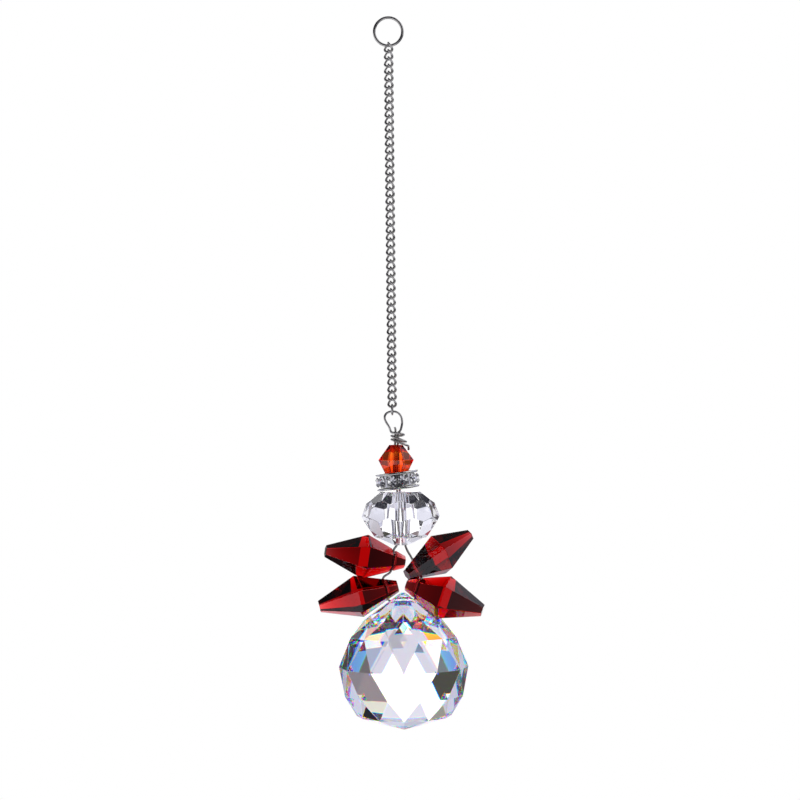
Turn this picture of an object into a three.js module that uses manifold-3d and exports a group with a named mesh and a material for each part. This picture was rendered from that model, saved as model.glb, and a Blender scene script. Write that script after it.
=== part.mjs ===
// A hanging crystal suncatcher in the shape of a butterfly. A wire ring carries a fine curb chain. One bound
// wire below it threads a red bead, a stone-set spacer, a wide clear bead, four red wing drops and a ball.
// Millimetres, +Z up. The origin is the top of the ring's inside, where a hook carries the whole thing.
// X runs across the wings and -Y is the front.

import * as THREE from "three";
import { ConvexGeometry } from "three/addons/geometries/ConvexGeometry.js";
import { ConvexHull } from "three/addons/math/ConvexHull.js";
import { mergeVertices } from "three/addons/utils/BufferGeometryUtils.js";
import Module from "manifold-3d";

// Hanging ring
const RING_INNER_RADIUS = 3.0;
const RING_WIRE = 0.7;
const RING_SIDES = 8;
const RING_STEPS = 24;

// Curb chain: equal links, each twisted a quarter turn from its flat-on foot to its edge-on head
const LINK_COUNT = 51;
const LINK_WIRE = 0.6;
const LINK_WIDTH = 2.7;
const LINK_FOOT_TURN = 0;
const LINK_HEAD_TURN = -90;
const LINK_BITE = 0.05;
const LINK_SIDES = 4;
const LINK_STEPS = 10;
const HOOK_GAP = 0.08;

// Binding wire: loop at the chain's end, a loose wrap below it, two strands from there down
const WIRE = 0.55;
const WIRE_SIDES = 6;
const WIRE_STEPS = 190;
const LOOP_TOP_Z = -93.4;
const STRAND_SPREAD = 0.33;
const WRAP_X = 1.1;
const WRAP_TOP_Z = -98.3;
const WRAP_RADIUS_X = 1.35;
const WRAP_RADIUS_Y = 1.0;
const WRAP_TURNS = 2.5;
const WRAP_PITCH = 0.85;
const WRAP_GROWTH = 0.25;
const WRAP_LEAN = 0.3;
const WRAP_POINTS_PER_TURN = 10;
const TAIL = [
  [3.8, 0.55, -102.0],
  [3.8, 1.0, -102.5],
];
const HOLE_SIDES = 10;

// Red bead on top: a bicone with eight facets round each half
const BICONE_X = 0.8;
const BICONE_Z = -104.9;
const BICONE_RADIUS = 4.55;
const BICONE_TOP_RADIUS = 1.7;
const BICONE_TOP_HEIGHT = 3.6;
const BICONE_BASE_RADIUS = 2.85;
const BICONE_BASE_DEPTH = 3.2;
const BICONE_FACETS = 8;
const BICONE_HOLE = 1.7;

// Spacer: a spool whose two flanges hold ten cut stones, tipped up at the right
const RONDELLE_X = 1.1;
const RONDELLE_Z = -109.75;
const RONDELLE_LEAN = 6.5;
const RONDELLE_RADIUS = 5.15;
const RONDELLE_HALF_HEIGHT = 2.05;
const RONDELLE_FLANGE = 0.6;
const RONDELLE_HUB_RADIUS = 3.5;
const RONDELLE_HOLE_RADIUS = 1.0;
const RONDELLE_DISH_RADIUS = 3.1;
const RONDELLE_DISH_DEPTH = 0.9;
const RONDELLE_STEPS = 20;
const STONE_COUNT = 10;
const STONE_RADIUS = 1.36;
const STONE_TABLE_RADIUS = 0.8;
const STONE_CROWN = 0.5;
const STONE_PAVILION = 0.95;
const STONE_FACETS = 8;
const STONE_GIRDLE_AT = 4.7;

// Wide clear bead: rows of flat cuts, each row given by its tilt and its distance from the bead's centre
const BEAD_X = 1.75;
const BEAD_Z = -118.85;
const BEAD_FACETS = 10;
const BEAD_ROWS = [
  { tilt: 20, distance: 8.5, offset: 0 },
  { tilt: 51, distance: 7.95, offset: 0.5 },
  { tilt: -33, distance: 7.55, offset: 0.5 },
  { tilt: -66, distance: 6.5, offset: 0 },
];
const BEAD_TOP = 6.45;
const BEAD_BASE = 6.3;
const BEAD_HOLE = 2.8;

// Wing drops: six-sided spindles, cut flat at both ends and drilled across near the inner end
const DROP_LENGTH = 19.3;
const DROP_RADIUS = 5.3;
const DROP_END_RADIUS = 1.45;
const DROP_FACETS = 6;
const DROP_HOLE = 1.1;
const DROP_HOLE_FROM_END = 3.0;
// x and z place the hole; slope lifts the drop's right end, yaw turns it back, roll turns it on its axis
const DROPS = [
  { name: "wing_drop_upper_left", side: -1, x: -0.35, z: -128.85, slope: -9.2, yaw: 11, roll: 30 },
  { name: "wing_drop_lower_left", side: -1, x: -2.0, z: -135.7, slope: 13.6, yaw: 4, roll: -18 },
  { name: "wing_drop_upper_right", side: 1, x: 5.45, z: -130.85, slope: 27.3, yaw: 27, roll: -21 },
  { name: "wing_drop_lower_right", side: 1, x: 5.75, z: -135.55, slope: -18.5, yaw: -10, roll: 25 },
];

// Ball: staggered rings of corners on a sphere, under a flat-sided cone that is drilled across
const BALL_X = 2.1;
const BALL_Z = -155.2;
const BALL_RADIUS = 15.45;
const BALL_FACETS = 12;
const BALL_RINGS = [
  { latitude: 54, offset: 0 },
  { latitude: 33, offset: 0.5 },
  { latitude: 4, offset: 0 },
  { latitude: -21, offset: 0.5 },
  { latitude: -43, offset: 0 },
];
const BALL_POLE_DEPTH = 13.9;
const BALL_TIP_HEIGHT = 18.7;
const BALL_TIP_RADIUS = 0.5;
const BALL_HOLE = 1.6;
const BALL_HOLE_HEIGHT = 16.6;
const BALL_HOLE_REACH = 2.4;

const RAD = Math.PI / 180;
const wasm = await Module();
wasm.setup();

const steel = () => new THREE.MeshStandardMaterial({ color: 0xb9bcc0, roughness: 0.25, metalness: 1 });
const silver = () => new THREE.MeshStandardMaterial({ color: 0xd6d6d2, roughness: 0.2, metalness: 1 });
const clear = () => new THREE.MeshStandardMaterial({ color: 0xeef0f6, roughness: 0.02, metalness: 0 });
const ruby = () => new THREE.MeshStandardMaterial({ color: 0xa80010, roughness: 0.03, metalness: 0 });
const amberRed = () => new THREE.MeshStandardMaterial({ color: 0xc83008, roughness: 0.03, metalness: 0 });

// Turns a three.js geometry into a closed solid that can be joined and cut
function solidOf(geometry) {
  const bare = geometry.index ? geometry.toNonIndexed() : geometry.clone();
  bare.deleteAttribute("normal");
  bare.deleteAttribute("uv");
  const merged = mergeVertices(bare, 1e-4);
  const mesh = new wasm.Mesh({
    numProp: 3,
    vertProperties: new Float32Array(merged.attributes.position.array),
    triVerts: new Uint32Array(merged.index.array),
  });
  return new wasm.Manifold(mesh);
}

function geometryOf(solid) {
  const mesh = solid.getMesh();
  const geometry = new THREE.BufferGeometry();
  geometry.setAttribute("position", new THREE.BufferAttribute(new Float32Array(mesh.vertProperties), 3));
  geometry.setIndex(new THREE.BufferAttribute(new Uint32Array(mesh.triVerts), 1));
  return geometry;
}

function meshOf(name, geometry, material) {
  const mesh = new THREE.Mesh(geometry, material);
  mesh.name = name;
  return mesh;
}

// A round hole along Z, cut through a geometry at a place in its own frame
function drilled(geometry, diameter, length, turn, place) {
  const drill = new THREE.CylinderGeometry(diameter / 2, diameter / 2, length, HOLE_SIDES);
  drill.rotateX(Math.PI / 2);
  drill.rotateY(turn);
  drill.translate(place.x, place.y, place.z);
  return geometryOf(solidOf(geometry).subtract(solidOf(drill)));
}

// The corners of a level ring, starting at the front
function ringPoints(radius, z, count, offset) {
  const points = [];
  for (let index = 0; index < count; index += 1) {
    const angle = (2 * Math.PI * (index + offset)) / count;
    points.push(new THREE.Vector3(radius * Math.sin(angle), -radius * Math.cos(angle), z));
  }
  return points;
}

// A stone cut by flat planes. Each plane's normal over its distance is a point of the dual hull, and each
// face of that hull gives back one corner of the stone.
function cutStone(planes) {
  const dual = planes.map((plane) => plane.normal.clone().divideScalar(plane.distance));
  const hull = new ConvexHull().setFromPoints(dual);
  const corners = [];
  for (const face of hull.faces) {
    const corner = face.normal.clone().divideScalar(face.normal.dot(face.midpoint));
    if (!corners.some((known) => known.distanceTo(corner) < 1e-3)) {
      corners.push(corner);
    }
  }
  return new ConvexGeometry(corners);
}

function makeRing() {
  const middle = RING_INNER_RADIUS + RING_WIRE / 2;
  const geometry = new THREE.TorusGeometry(middle, RING_WIRE / 2, RING_SIDES, RING_STEPS);
  geometry.rotateX(Math.PI / 2);
  const ring = meshOf("hanging_ring", geometry, steel());
  ring.position.z = -RING_INNER_RADIUS;
  return ring;
}

// One oval link round Z whose plane turns from footTurn at its foot to headTurn at its head
function linkGeometry(halfLength, footTurn, headTurn) {
  const halfWidth = (LINK_WIDTH - LINK_WIRE) / 2;
  const turnAt = (z) => (footTurn + ((headTurn - footTurn) * (z / halfLength + 1)) / 2) * RAD;
  const centreAt = (angle) => {
    const z = halfLength * Math.sin(angle);
    const across = halfWidth * Math.cos(angle);
    return new THREE.Vector3(across * Math.cos(turnAt(z)), across * Math.sin(turnAt(z)), z);
  };
  const positions = [];
  const indices = [];
  const nudge = 1e-3;
  for (let step = 0; step < LINK_STEPS; step += 1) {
    const angle = (2 * Math.PI * (step + 0.5)) / LINK_STEPS;
    const centre = centreAt(angle);
    const along = centreAt(angle + nudge).sub(centreAt(angle - nudge)).normalize();
    const plane = new THREE.Vector3(-Math.sin(turnAt(centre.z)), Math.cos(turnAt(centre.z)), 0);
    const outward = plane.clone().cross(along).normalize();
    const sideways = along.clone().cross(outward);
    for (let side = 0; side < LINK_SIDES; side += 1) {
      const turn = (2 * Math.PI * side) / LINK_SIDES;
      const corner = centre.clone();
      corner.addScaledVector(outward, (LINK_WIRE / 2) * Math.cos(turn));
      corner.addScaledVector(sideways, (LINK_WIRE / 2) * Math.sin(turn));
      positions.push(corner.x, corner.y, corner.z);
      const nextStep = ((step + 1) % LINK_STEPS) * LINK_SIDES;
      const nextSide = (side + 1) % LINK_SIDES;
      const here = step * LINK_SIDES;
      indices.push(here + side, here + nextSide, nextStep + nextSide);
      indices.push(here + side, nextStep + nextSide, nextStep + side);
    }
  }
  const geometry = new THREE.BufferGeometry();
  geometry.setAttribute("position", new THREE.Float32BufferAttribute(positions, 3));
  geometry.setIndex(indices);
  return geometry;
}

// The links bite a hair into each other where they bear, so the chain is one body. The last one isn't
// twisted: its foot goes round the wire's loop.
function makeChain() {
  const firstBow = -2 * RING_INNER_RADIUS + LINK_WIRE / 2 + HOOK_GAP;
  const lastBow = LOOP_TOP_Z - WIRE / 2 - LINK_WIRE / 2 - HOOK_GAP;
  const pitch = (firstBow - lastBow - LINK_WIRE + LINK_BITE) / LINK_COUNT;
  const halfLength = (pitch - LINK_BITE + LINK_WIRE) / 2;
  let chain = null;
  for (let index = 0; index < LINK_COUNT; index += 1) {
    const last = index === LINK_COUNT - 1;
    const footTurn = last ? LINK_HEAD_TURN : LINK_FOOT_TURN;
    const geometry = linkGeometry(halfLength, footTurn, LINK_HEAD_TURN);
    geometry.translate(0, 0, firstBow - halfLength - index * pitch);
    const link = solidOf(geometry);
    chain = chain ? chain.add(link) : link;
  }
  return meshOf("curb_chain", geometryOf(chain), steel());
}

function makeBicone() {
  const corners = [
    ...ringPoints(BICONE_TOP_RADIUS, BICONE_TOP_HEIGHT, BICONE_FACETS, 0.5),
    ...ringPoints(BICONE_RADIUS, 0, BICONE_FACETS, 0.5),
    ...ringPoints(BICONE_BASE_RADIUS, -BICONE_BASE_DEPTH, BICONE_FACETS, 0.5),
  ];
  const through = 4 * BICONE_TOP_HEIGHT;
  const geometry = drilled(new ConvexGeometry(corners), BICONE_HOLE, through, 0, new THREE.Vector3());
  const bead = meshOf("bicone_bead", geometry, amberRed());
  bead.position.set(BICONE_X, 0, BICONE_Z);
  return bead;
}

function makeRondelle() {
  const rondelle = new THREE.Group();
  const inner = RONDELLE_HALF_HEIGHT - RONDELLE_FLANGE;
  const bulge = RONDELLE_HALF_HEIGHT - RONDELLE_FLANGE / 2;
  const lip = RONDELLE_RADIUS - RONDELLE_FLANGE / 4;
  const floor = RONDELLE_HALF_HEIGHT - RONDELLE_DISH_DEPTH;
  const outline = [
    [RONDELLE_HOLE_RADIUS, -RONDELLE_HALF_HEIGHT],
    [lip, -RONDELLE_HALF_HEIGHT],
    [RONDELLE_RADIUS, -bulge],
    [lip, -inner],
    [RONDELLE_HUB_RADIUS, -inner],
    [RONDELLE_HUB_RADIUS, inner],
    [lip, inner],
    [RONDELLE_RADIUS, bulge],
    [lip, RONDELLE_HALF_HEIGHT],
    [RONDELLE_DISH_RADIUS + RONDELLE_FLANGE / 2, RONDELLE_HALF_HEIGHT],
    [RONDELLE_DISH_RADIUS, floor],
    [RONDELLE_HOLE_RADIUS, floor],
    [RONDELLE_HOLE_RADIUS, -RONDELLE_HALF_HEIGHT],
  ];
  const profile = outline.map(([radius, height]) => new THREE.Vector2(radius, height));
  const spool = new THREE.LatheGeometry(profile, RONDELLE_STEPS);
  spool.rotateX(Math.PI / 2);
  rondelle.add(meshOf("rondelle_setting", spool, silver()));
  const stone = new ConvexGeometry([
    ...ringPoints(STONE_TABLE_RADIUS, STONE_CROWN, STONE_FACETS, 0.5),
    ...ringPoints(STONE_RADIUS, 0, STONE_FACETS, 0.5),
    new THREE.Vector3(0, 0, -STONE_PAVILION),
  ]);
  stone.rotateX(Math.PI / 2);
  for (let index = 0; index < STONE_COUNT; index += 1) {
    const seat = new THREE.Group();
    seat.rotation.z = (2 * Math.PI * (index + 0.5)) / STONE_COUNT;
    const name = `rhinestone_${String(index + 1).padStart(2, "0")}`;
    const cut = meshOf(name, stone.clone(), clear());
    cut.position.y = -STONE_GIRDLE_AT;
    seat.add(cut);
    rondelle.add(seat);
  }
  rondelle.position.set(RONDELLE_X, 0, RONDELLE_Z);
  rondelle.rotation.y = -RONDELLE_LEAN * RAD;
  return rondelle;
}

function makeClearBead() {
  const planes = [
    { normal: new THREE.Vector3(0, 0, 1), distance: BEAD_TOP },
    { normal: new THREE.Vector3(0, 0, -1), distance: BEAD_BASE },
  ];
  for (const row of BEAD_ROWS) {
    const tilt = row.tilt * RAD;
    for (const normal of ringPoints(Math.cos(tilt), Math.sin(tilt), BEAD_FACETS, row.offset)) {
      planes.push({ normal, distance: row.distance });
    }
  }
  const geometry = drilled(cutStone(planes), BEAD_HOLE, 4 * BEAD_TOP, 0, new THREE.Vector3());
  const bead = meshOf("clear_bead", geometry, clear());
  bead.position.set(BEAD_X, 0, BEAD_Z);
  return bead;
}

// A drop's own origin is the middle of its hole, where the wire carries it
function makeDrop(drop) {
  const half = DROP_LENGTH / 2;
  const profile = [
    new THREE.Vector2(0, -half),
    new THREE.Vector2(DROP_END_RADIUS, -half),
    new THREE.Vector2(DROP_RADIUS, 0),
    new THREE.Vector2(DROP_END_RADIUS, half),
    new THREE.Vector2(0, half),
  ];
  const spindle = new THREE.LatheGeometry(profile, DROP_FACETS);
  spindle.rotateZ(Math.PI / 2);
  spindle.rotateX(drop.roll * RAD);
  spindle.translate(drop.side * (half - DROP_HOLE_FROM_END), 0, 0);
  const geometry = drilled(spindle, DROP_HOLE, 4 * DROP_RADIUS, 0, new THREE.Vector3());
  const mesh = meshOf(drop.name, geometry, ruby());
  mesh.position.set(drop.x, 0, drop.z);
  mesh.rotation.set(0, -drop.slope * RAD, drop.yaw * RAD);
  mesh.updateMatrixWorld();
  return mesh;
}

function makeBall() {
  const corners = [new THREE.Vector3(0, 0, -BALL_POLE_DEPTH)];
  for (const ring of BALL_RINGS) {
    const latitude = ring.latitude * RAD;
    const height = BALL_RADIUS * Math.sin(latitude);
    corners.push(...ringPoints(BALL_RADIUS * Math.cos(latitude), height, BALL_FACETS, ring.offset));
  }
  corners.push(...ringPoints(BALL_TIP_RADIUS, BALL_TIP_HEIGHT, BALL_FACETS, 0));
  const place = new THREE.Vector3(0, 0, BALL_HOLE_HEIGHT);
  const geometry = drilled(new ConvexGeometry(corners), BALL_HOLE, 4 * BALL_RADIUS, Math.PI / 2, place);
  const ball = meshOf("crystal_ball", geometry, clear());
  ball.position.set(BALL_X, 0, BALL_Z);
  return ball;
}

// The wire's way through one drop, from its upper mouth to its lower one
function holePoints(mesh) {
  const slope = (DROP_RADIUS - DROP_END_RADIUS) / (DROP_LENGTH / 2);
  const reach = DROP_END_RADIUS + DROP_HOLE_FROM_END * slope;
  const heights = [reach, reach / 2, 0, -reach / 2, -reach];
  return heights.map((z) => mesh.localToWorld(new THREE.Vector3(0, 0, z)));
}

// One wire: from its short end inside the loop, down the left, through the ball, up the right, round the
// loop and into the wrap
function makeWire(drops) {
  const stations = [
    [1.05, -98.4, STRAND_SPREAD],
    [1.05, -99.7, STRAND_SPREAD],
    [0.9, -101.2, STRAND_SPREAD],
    [BICONE_X, -103, STRAND_SPREAD],
    [BICONE_X, -106.5, STRAND_SPREAD],
    [RONDELLE_X, -109, STRAND_SPREAD],
    [1.3, -112.2, STRAND_SPREAD],
    [1.55, -115, 0.4],
    [1.7, -119, 0.6],
    [BEAD_X, -123, 0.95],
    [BEAD_X, -125.3, 1.05],
  ];
  const left = stations.map(([x, z, spread]) => new THREE.Vector3(x - spread, 0, z));
  const right = stations.map(([x, z, spread]) => new THREE.Vector3(x + spread, 0, z)).reverse();
  const [upperLeft, lowerLeft, upperRight, lowerRight] = drops.map(holePoints);
  const ballHoleZ = BALL_Z + BALL_HOLE_HEIGHT;
  const ballHole = [-BALL_HOLE_REACH, 0, BALL_HOLE_REACH].map((x) => {
    return new THREE.Vector3(BALL_X + x, 0, ballHoleZ);
  });
  const shortEnd = [new THREE.Vector3(0.55, 0, -97.1), new THREE.Vector3(0.72, 0, -97.7)];
  const loop = [
    [1.75, -98.1],
    [2.15, -97.1],
    [2.3, -95.6],
    [1.9, -94.3],
    [1.1, -93.6],
    [0.1, LOOP_TOP_Z],
    [-0.9, -93.55],
    [-1.6, -94.1],
    [-1.8, -94.9],
    [-1.45, -95.9],
    [-0.8, -97.0],
  ].map(([x, z]) => new THREE.Vector3(x, 0, z));
  // The turns open out and sag to the right on the way down
  const wrap = [];
  for (let index = 0; index <= WRAP_TURNS * WRAP_POINTS_PER_TURN; index += 1) {
    const turns = index / WRAP_POINTS_PER_TURN;
    const angle = 2 * Math.PI * turns;
    const across = (WRAP_RADIUS_X + WRAP_GROWTH * turns) * (1 - Math.cos(angle));
    const sag = WRAP_LEAN * Math.min(turns * turns, 1) * across;
    const y = -WRAP_RADIUS_Y * Math.sin(angle);
    const drop = WRAP_PITCH * turns + sag;
    wrap.push(new THREE.Vector3(WRAP_X - WRAP_RADIUS_X + across, y, WRAP_TOP_Z - drop));
  }
  const tail = TAIL.map((place) => new THREE.Vector3(...place));
  const route = new THREE.CatmullRomCurve3([
    ...shortEnd,
    ...left,
    ...upperLeft,
    ...lowerLeft,
    ...ballHole,
    ...lowerRight.reverse(),
    ...upperRight.reverse(),
    ...right,
    ...loop,
    ...wrap,
    ...tail,
  ]);
  const section = new THREE.Shape();
  for (let side = 0; side < WIRE_SIDES; side += 1) {
    const angle = (2 * Math.PI * side) / WIRE_SIDES;
    const x = (WIRE / 2) * Math.cos(angle);
    const y = (WIRE / 2) * Math.sin(angle);
    if (side === 0) {
      section.moveTo(x, y);
    } else {
      section.lineTo(x, y);
    }
  }
  section.closePath();
  const geometry = new THREE.ExtrudeGeometry(section, {
    steps: WIRE_STEPS,
    bevelEnabled: false,
    extrudePath: route,
  });
  return meshOf("binding_wire", geometry, steel());
}

const suncatcher = new THREE.Group();
const drops = DROPS.map(makeDrop);
suncatcher.add(makeRing());
suncatcher.add(makeChain());
suncatcher.add(makeWire(drops));
suncatcher.add(makeBicone());
suncatcher.add(makeRondelle());
suncatcher.add(makeClearBead());
suncatcher.add(...drops);
suncatcher.add(makeBall());

export default suncatcher;
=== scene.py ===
"""Dresses the solid model of a hanging crystal suncatcher.

A wire ring carries a fine curb chain. One bound wire below it threads an amber-red bead, a stone-set
spacer, a wide clear bead, four ruby wing drops and a faceted ball. Everything is in metres in the solid
model's own frame: +Z up, the origin at the top of the ring's inside, X across the wings and -Y to the front.
"""

import math

import bpy
from bpy.props import FloatProperty, FloatVectorProperty, IntProperty, PointerProperty
from mathutils import Matrix, Vector


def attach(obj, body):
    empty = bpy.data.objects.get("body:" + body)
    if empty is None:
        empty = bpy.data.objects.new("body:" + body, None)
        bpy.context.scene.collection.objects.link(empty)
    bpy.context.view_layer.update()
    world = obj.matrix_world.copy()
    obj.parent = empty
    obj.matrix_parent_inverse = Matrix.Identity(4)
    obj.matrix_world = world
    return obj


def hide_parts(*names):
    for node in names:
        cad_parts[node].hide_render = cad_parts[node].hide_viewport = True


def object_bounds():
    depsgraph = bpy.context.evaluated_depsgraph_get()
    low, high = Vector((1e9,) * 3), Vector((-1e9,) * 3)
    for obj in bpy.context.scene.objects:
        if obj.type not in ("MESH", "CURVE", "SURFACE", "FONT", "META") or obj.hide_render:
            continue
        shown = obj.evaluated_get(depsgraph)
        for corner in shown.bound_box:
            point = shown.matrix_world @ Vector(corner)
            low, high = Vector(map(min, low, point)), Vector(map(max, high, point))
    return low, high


bl_info = {
    "name": "Crystal Suncatcher",
    "version": (1, 0, 0),
    "blender": (4, 5, 0),
    "location": "3D View > Sidebar > Suncatcher",
    "description": "Models a hanging butterfly suncatcher of cut crystal, wire and chain",
    "category": "Object",
}

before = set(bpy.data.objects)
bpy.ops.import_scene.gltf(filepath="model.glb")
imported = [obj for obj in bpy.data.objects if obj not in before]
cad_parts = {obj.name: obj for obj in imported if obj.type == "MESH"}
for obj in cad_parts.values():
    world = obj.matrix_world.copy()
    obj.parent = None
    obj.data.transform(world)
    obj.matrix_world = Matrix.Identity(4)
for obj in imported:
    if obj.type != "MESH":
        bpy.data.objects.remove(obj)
SOLID_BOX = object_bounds()
BODY = "root"
MM = 0.001

# How near to each other corners are one, as they come and where the clear bead's flats meet
WELD = 2e-7
FLAT_WELD = 0.01 * MM

# How finely round things are made: steps along them, and sides of their wire
RING_STEPS = 90
RING_SIDES = 16
LINK_STEPS = 24
LINK_SIDES = 10
WIRE_STEPS = 6
WIRE_ROUNDING = 3
WRAP_STEPS = 10
SPOOL_STEPS = 80
HOLE_SIDES = 96
FLOOR_SIDES = 96

# Degrees between faces that are still one facet, one round hole, or one round piece
SAME_FACET = 0.5
ROUND_HOLE = 4
ROUND_RING = 30
ROUND_WIRE = 40
ROUND_SPOOL = 50

# Degrees between facets from which their edge is polished
SHARP_EDGE = 13


# Settings


def length(name, default, description):
    """A size in metres, given in millimetres."""
    return FloatProperty(
        name=name,
        description=description,
        default=default * MM,
        unit="LENGTH",
        subtype="DISTANCE",
        precision=5,
    )


def turn(name, default, description):
    """An angle, given in degrees."""
    return FloatProperty(
        name=name, description=description, default=math.radians(default), unit="ROTATION", subtype="ANGLE"
    )


def amount(name, default, description):
    """A plain number that isn't below nought."""
    return FloatProperty(name=name, description=description, default=default, min=0)


def how_many(name, default, description):
    """How many there are of something."""
    return IntProperty(name=name, description=description, default=default, min=3)


def spot(name, default, description):
    """A point in metres, given in millimetres."""
    return FloatVectorProperty(
        name=name,
        description=description,
        default=[part * MM for part in default],
        subtype="TRANSLATION",
    )


def colour(name, default, description):
    """A colour as shares of red, green and blue light."""
    return FloatVectorProperty(
        name=name, description=description, default=default, size=3, min=0, max=1, subtype="COLOR"
    )


class RingSettings(bpy.types.PropertyGroup):
    """The wire ring that a hook carries."""

    inner_radius: length("Inner radius", 3.0, "From the ring's centre to the inside of its wire")
    wire: length("Wire", 0.7, "Thickness of the ring's wire")
    seam_turn: turn("Seam turn", 35, "Where the ring's ends meet, from its top")
    seam_depth: length("Seam depth", 0.06, "Depth of the groove where the ends meet")


class ChainSettings(bpy.types.PropertyGroup):
    """The curb chain."""

    count: how_many("Links", 51, "Number of links")
    wire: length("Wire", 0.6, "Thickness of a link's wire")
    width: length("Width", 2.7, "A link's width over its wire")
    bite: length("Bite", 0.05, "How far one link presses into the next")
    hook_gap: length("Hook gap", 0.08, "Play between an end link and what it hangs on")
    foot_turn: turn("Foot turn", 0, "Turn of a link's plane at its foot")
    head_turn: turn("Head turn", -90, "Turn of a link's plane at its head")


class WireSettings(bpy.types.PropertyGroup):
    """The bound wire that threads everything below the chain."""

    thickness: length("Thickness", 0.55, "Thickness of the wire")
    loop_top: length("Loop top", -93.4, "Height of the loop's top")
    spread: length("Spread", 0.33, "Half the distance between the two strands in the upper beads")
    wrap_middle: length("Wrap middle", 1.1, "The middle of the wrap's first turn, from the ring's middle")
    wrap_top: length("Wrap top", -98.3, "Height of the wrap's first turn")
    wrap_across: length("Wrap across", 1.35, "The wrap's half width")
    wrap_deep: length("Wrap deep", 1.0, "The wrap's half depth")
    wrap_pitch: length("Wrap pitch", 0.85, "Drop of one turn of the wrap")
    wrap_turns: amount("Wrap turns", 2.5, "Turns of the wire's end")
    wrap_growth: length("Wrap growth", 0.25, "How much wider each turn of the wrap is")
    wrap_lean: amount("Wrap lean", 0.3, "Slope of the wrap's lower turns")


class RedBeadSettings(bpy.types.PropertyGroup):
    """The amber-red bicone bead."""

    place: spot("Place", (0.8, 0, -104.9), "Middle of the girdle")
    facets: how_many("Facets", 8, "Facets round each half")
    radius: length("Radius", 4.55, "Out to the girdle's corners")
    top_radius: length("Top radius", 1.7, "Radius of the flat top")
    top_height: length("Top height", 3.6, "From the girdle to the top")
    base_radius: length("Base radius", 2.85, "Radius of the flat base")
    base_depth: length("Base depth", 3.2, "From the girdle to the base")
    hole: length("Hole", 1.7, "Diameter of the hole")


class SpacerSettings(bpy.types.PropertyGroup):
    """The silver spacer and its stones."""

    place: spot("Place", (1.1, 0, -109.75), "Middle of the spacer")
    lean: turn("Lean", 6.5, "How far its right side is tipped up")
    radius: length("Radius", 5.15, "Out to the flanges' rims")
    half_height: length("Half height", 2.05, "From the middle to a flange's outer face")
    flange: length("Flange", 0.6, "Thickness of a flange at its rim")
    hub_radius: length("Hub radius", 3.5, "Radius of the wall behind the stones")
    hole_radius: length("Hole radius", 1.0, "Radius of the hole")
    dish_radius: length("Dish radius", 3.1, "Radius of the dish in the top")
    dish_depth: length("Dish depth", 0.9, "Depth of the dish in the top")
    edge: length("Edge", 0.1, "Width of the polish along the rims")
    stones: how_many("Stones", 10, "Stones round the spacer")
    stone_facets: how_many("Stone facets", 8, "Facets round each half of a stone")
    stone_edge: length("Stone edge", 0.02, "Width of the polish along a stone's edges")
    stone_radius: length("Stone radius", 1.36, "Radius of a stone's girdle")
    table_radius: length("Table radius", 0.8, "Radius of a stone's flat front")
    crown: length("Crown", 0.5, "From a stone's girdle to its front")
    pavilion: length("Pavilion", 0.95, "From a stone's girdle to its point")
    point: amount("Point", 1 / 30, "The point's radius, as a share of the girdle's")
    foil_from: length("Foil from", 0.02, "From a stone's girdle to the faces that are foiled")
    girdle_at: length("Girdle at", 4.7, "From the spacer's axis to the stones' girdles")


class ClearBeadSettings(bpy.types.PropertyGroup):
    """The wide clear bead."""

    place: spot("Place", (1.75, 0, -118.85), "Middle of the bead")
    facets: how_many("Facets", 10, "Cuts in each row")
    top: length("Top", 6.45, "From the middle to the flat top")
    base: length("Base", 6.3, "From the middle to the flat base")
    hole: length("Hole", 2.8, "Diameter of the hole")


class DropSettings(bpy.types.PropertyGroup):
    """The four wing drops."""

    facets: how_many("Facets", 6, "Facets round each half")
    length: length("Length", 19.3, "From end to end")
    radius: length("Radius", 5.3, "Out to the girdle's corners")
    end_radius: length("End radius", 1.45, "Out to the corners of the flat ends")
    hole: length("Hole", 1.1, "Diameter of the cross hole")
    hole_from_end: length("Hole from end", 3.0, "From the inner end to the hole")


class BallSettings(bpy.types.PropertyGroup):
    """The faceted ball."""

    place: spot("Place", (2.1, 0, -155.2), "Middle of the ball")
    facets: how_many("Facets", 12, "Corners of each ring")
    radius: length("Radius", 15.45, "Out to the corners")
    pole_depth: length("Pole depth", 13.9, "From the middle to the lowest point")
    pole_radius: length("Pole radius", 0.16, "Radius of the small flat at the lowest point")
    tip_height: length("Tip height", 18.7, "From the middle to the cone's tip")
    tip_radius: length("Tip radius", 0.5, "Radius of the flat tip")
    hole: length("Hole", 1.6, "Diameter of the hole across the cone")
    hole_height: length("Hole height", 16.6, "From the middle to the hole")
    hole_reach: length("Hole reach", 2.4, "From the hole's middle to where the wire bends up")


class FinishSettings(bpy.types.PropertyGroup):
    """Colours and polish."""

    steel: colour("Steel", (0.57, 0.56, 0.53), "Wire, ring and chain")
    silver: colour("Silver", (0.72, 0.72, 0.69), "The spacer's plating")
    foil: colour("Foil", (0.95, 0.95, 0.95), "The mirror behind the stones")
    clear: colour("Clear", (0.985, 0.985, 1.0), "Ball, bead and stones")
    ruby: colour("Ruby", (0.86, 0.005, 0.015), "What is left of white light in the wing drops")
    amber: colour("Amber", (1.0, 0.5, 0.03), "What is left of white light in the red bead")
    edge: length("Edge", 0.05, "Width of the polish along a facet's edges")


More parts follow.
